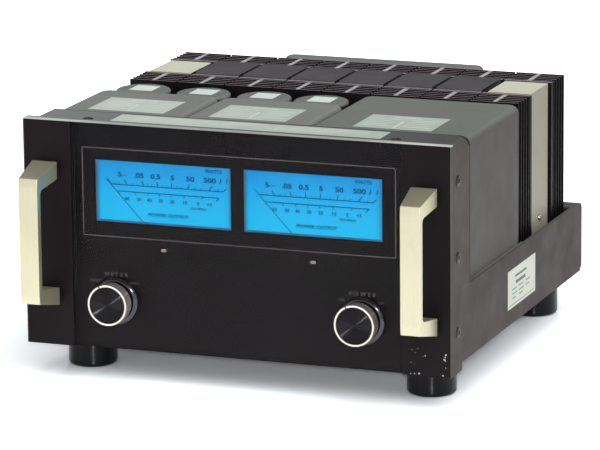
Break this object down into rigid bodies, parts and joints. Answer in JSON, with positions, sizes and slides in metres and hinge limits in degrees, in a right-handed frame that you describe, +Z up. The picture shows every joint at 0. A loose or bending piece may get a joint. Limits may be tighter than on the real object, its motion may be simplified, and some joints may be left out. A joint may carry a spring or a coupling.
{
  "type": "stereo power amplifier",
  "caption": "Stereo power amplifier with a black glass front, blue backlit power meters, rotary knobs, carrying handles, covered transformers, capacitor cans and finned heat sinks.",
  "frame": {"origin": "middle of the footprint, on the surface that the feet rest on", "axes": "+Z up, +X to the right seen from the front, and the front panel faces -Y"},
  "size_m": [0.4522, 0.506, 0.2647],
  "materials": {
    "chassis_paint": "satin grey paint",
    "cover_paint": "satin grey paint",
    "black_anodised": "black anodised, satin",
    "fin_black": "black anodised extrusion",
    "front_glass": "polished, dark tint",
    "mask_black": "matt black print",
    "champagne": "brushed, champagne anodised",
    "plate_champagne": "brushed, champagne anodised",
    "plate_dark": "dark satin coating",
    "knob_metal": "turned and polished",
    "knob_black": "black anodised, spun",
    "chrome": "bright plated",
    "dial_blue": "backlit translucent blue",
    "needle_dark": "matt black",
    "meter_plastic": "moulded black",
    "movement_metal": "plain",
    "lamp_glass": "clear",
    "lens_amber": "unlit amber",
    "circuit_board": "green solder mask",
    "lamination": "varnished laminations",
    "copper": "enamelled copper wire",
    "can_sleeve": "satin grey sleeve",
    "bracket_steel": "zinc plated",
    "screw_dark": "black oxide",
    "screw_bright": "plated",
    "gold_contact": "gold plated",
    "moulding_black": "moulded",
    "slider_grey": "moulded",
    "foot_black": "glossy moulded"
  },
  "bodies": {
    "chassis": {"chassis_tray": "chassis_paint", "front_frame": "cover_paint", "rear_cover": "cover_paint", "power_transformer_cover": "cover_paint", "output_transformer_cover_left": "cover_paint", "output_transformer_cover_right": "cover_paint", "power_transformer_core": "lamination", "power_transformer_winding": "copper", "output_transformer_cores": "lamination", "output_transformer_windings": "copper", "capacitor_1": "can_sleeve", "capacitor_2": "can_sleeve", "capacitor_3": "can_sleeve", "capacitor_4": "can_sleeve", "sink_bracket": "bracket_steel", "front_heat_sinks": "fin_black", "rear_heat_sinks": "fin_black", "end_plate_left": "plate_champagne", "end_plate_right": "plate_champagne", "channel_covers": "plate_dark", "output_transistors": "movement_metal", "driver_boards": "circuit_board", "front_glass": "front_glass", "display_mask": "mask_black", "end_cap_left": "black_anodised", "end_cap_right": "black_anodised", "handle_left": "champagne", "handle_right": "champagne", "handle_screws": "screw_bright", "frame_screws": "screw_dark", "indicator_lamps": "lens_amber", "meter_case_left": "meter_plastic", "meter_case_right": "meter_plastic", "meter_dial_left": "dial_blue", "meter_dial_right": "dial_blue", "meter_movements": "movement_metal", "meter_lamps": "lamp_glass", "meter_board": "circuit_board", "knob_bezels": "chrome", "rotary_switches": "moulding_black", "input_jacks": "gold_contact", "speaker_terminals": "moulding_black", "terminal_screws": "screw_bright", "ac_inlet": "moulding_black", "fuse_holder": "moulding_black", "mode_switch": "moulding_black", "input_board": "circuit_board", "supply_board": "circuit_board", "feet": "foot_black", "chassis_screws": "screw_bright"},
    "meter_selector": {"meter_knob": "knob_metal", "meter_knob_face": "knob_black", "meter_switch_shaft": "bracket_steel"},
    "power_selector": {"power_knob": "knob_metal", "power_knob_face": "knob_black", "power_switch_shaft": "bracket_steel"},
    "left_pointer": {"meter_needle_left": "needle_dark"},
    "right_pointer": {"meter_needle_right": "needle_dark"},
    "mode_selector": {"mode_slider": "slider_grey"}
  },
  "joints": [
    {"name": "meter_knob_turn", "type": "hinge", "parent": "chassis", "child": "meter_selector", "pos_m": [-0.1302, -0.204, 0.083], "axis": [0, 1, 0], "range_deg": [0, 50]},
    {"name": "power_knob_turn", "type": "hinge", "parent": "chassis", "child": "power_selector", "pos_m": [0.1302, -0.204, 0.083], "axis": [0, 1, 0], "range_deg": [0, 50]},
    {"name": "left_needle_swing", "type": "hinge", "parent": "chassis", "child": "left_pointer", "pos_m": [-0.07885, -0.188, 0.13705], "axis": [0, 1, 0], "range_deg": [0, 86], "stiffness_Nm_per_rad": 0.0002},
    {"name": "right_needle_swing", "type": "hinge", "parent": "chassis", "child": "right_pointer", "pos_m": [0.07885, -0.188, 0.13705], "axis": [0, 1, 0], "range_deg": [0, 86], "stiffness_Nm_per_rad": 0.0002},
    {"name": "mode_slide", "type": "slide", "parent": "chassis", "child": "mode_selector", "axis": [1, 0, 0], "range_m": [0, 0.006]}
  ]
}
